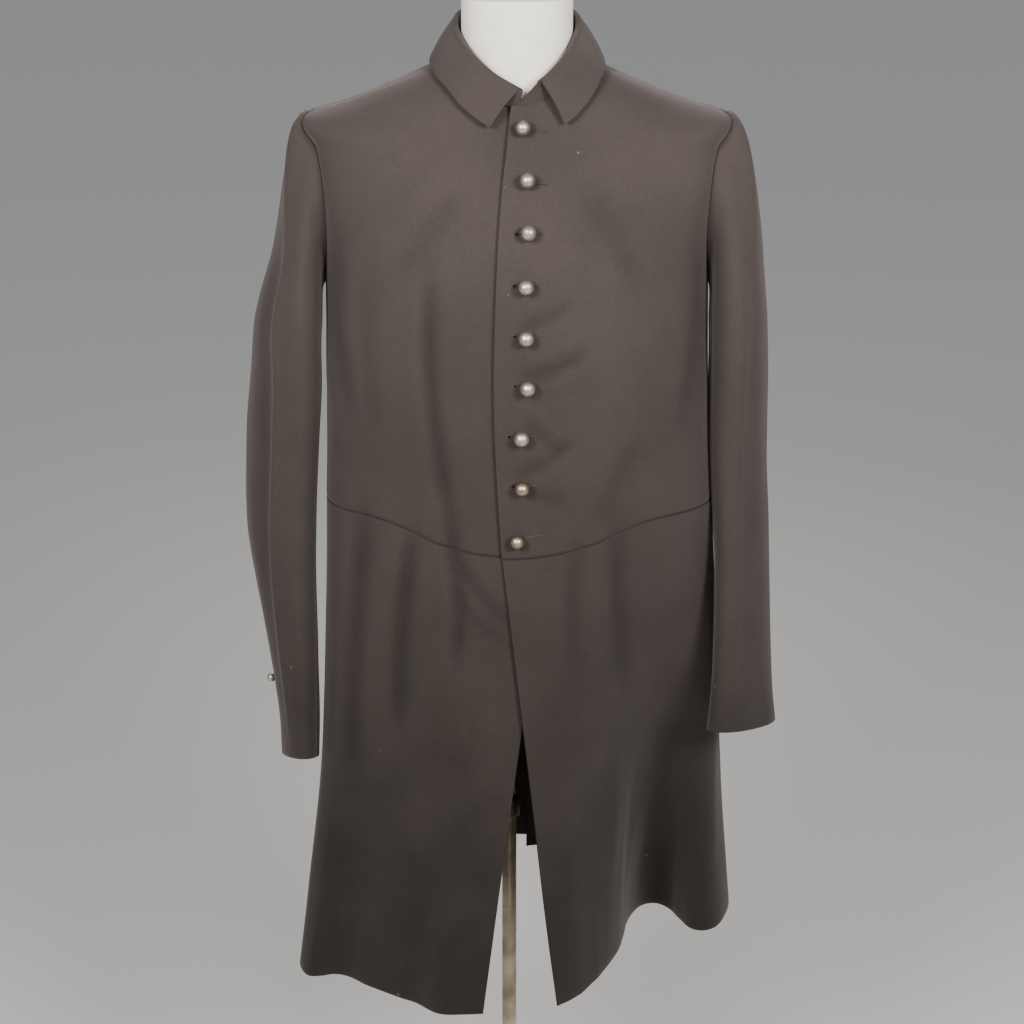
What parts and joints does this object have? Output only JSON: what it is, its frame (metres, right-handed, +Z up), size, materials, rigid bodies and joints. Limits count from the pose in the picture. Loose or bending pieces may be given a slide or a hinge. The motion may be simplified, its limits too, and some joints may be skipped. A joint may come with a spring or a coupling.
{
  "type": "frock coat on dress form",
  "caption": "Charcoal wool single-breasted frock coat, buttoned to a turned-down collar, on a limbless white dress form with a pole stand and a round base.",
  "frame": {"origin": "centre of the round base's flat underside, on the floor and on the pole's axis", "axes": "+Z up along the pole, -Y out of the coat's buttoned front, +X to the wearer's left"},
  "size_m": [0.5616, 0.4564, 1.482],
  "materials": {
    "wool": "brushed wool cloth",
    "pewter": "satin",
    "bronze": "satin",
    "form": "matte",
    "tan_metal": "painted satin",
    "brown_metal": "painted satin"
  },
  "bodies": {
    "root": {"back_left": "wool", "back_right": "wool", "collar": "wool", "front_left": "wool", "front_right": "wool", "side_body_left": "wool", "side_body_right": "wool", "skirt_left": "wool", "skirt_right": "wool", "top_sleeve_left": "wool", "top_sleeve_right": "wool", "under_sleeve_left": "wool", "under_sleeve_right": "wool", "button_1": "pewter", "button_2": "pewter", "button_3": "pewter", "button_4": "pewter", "button_5": "pewter", "button_6": "pewter", "button_7": "pewter", "cuff_button_left": "pewter", "cuff_button_right": "pewter", "button_8": "bronze", "button_9": "bronze", "dress_form": "form", "lower_pole": "tan_metal", "upper_pole": "brown_metal", "pole_ring": "brown_metal", "base": "brown_metal"}
  },
  "joints": []
}
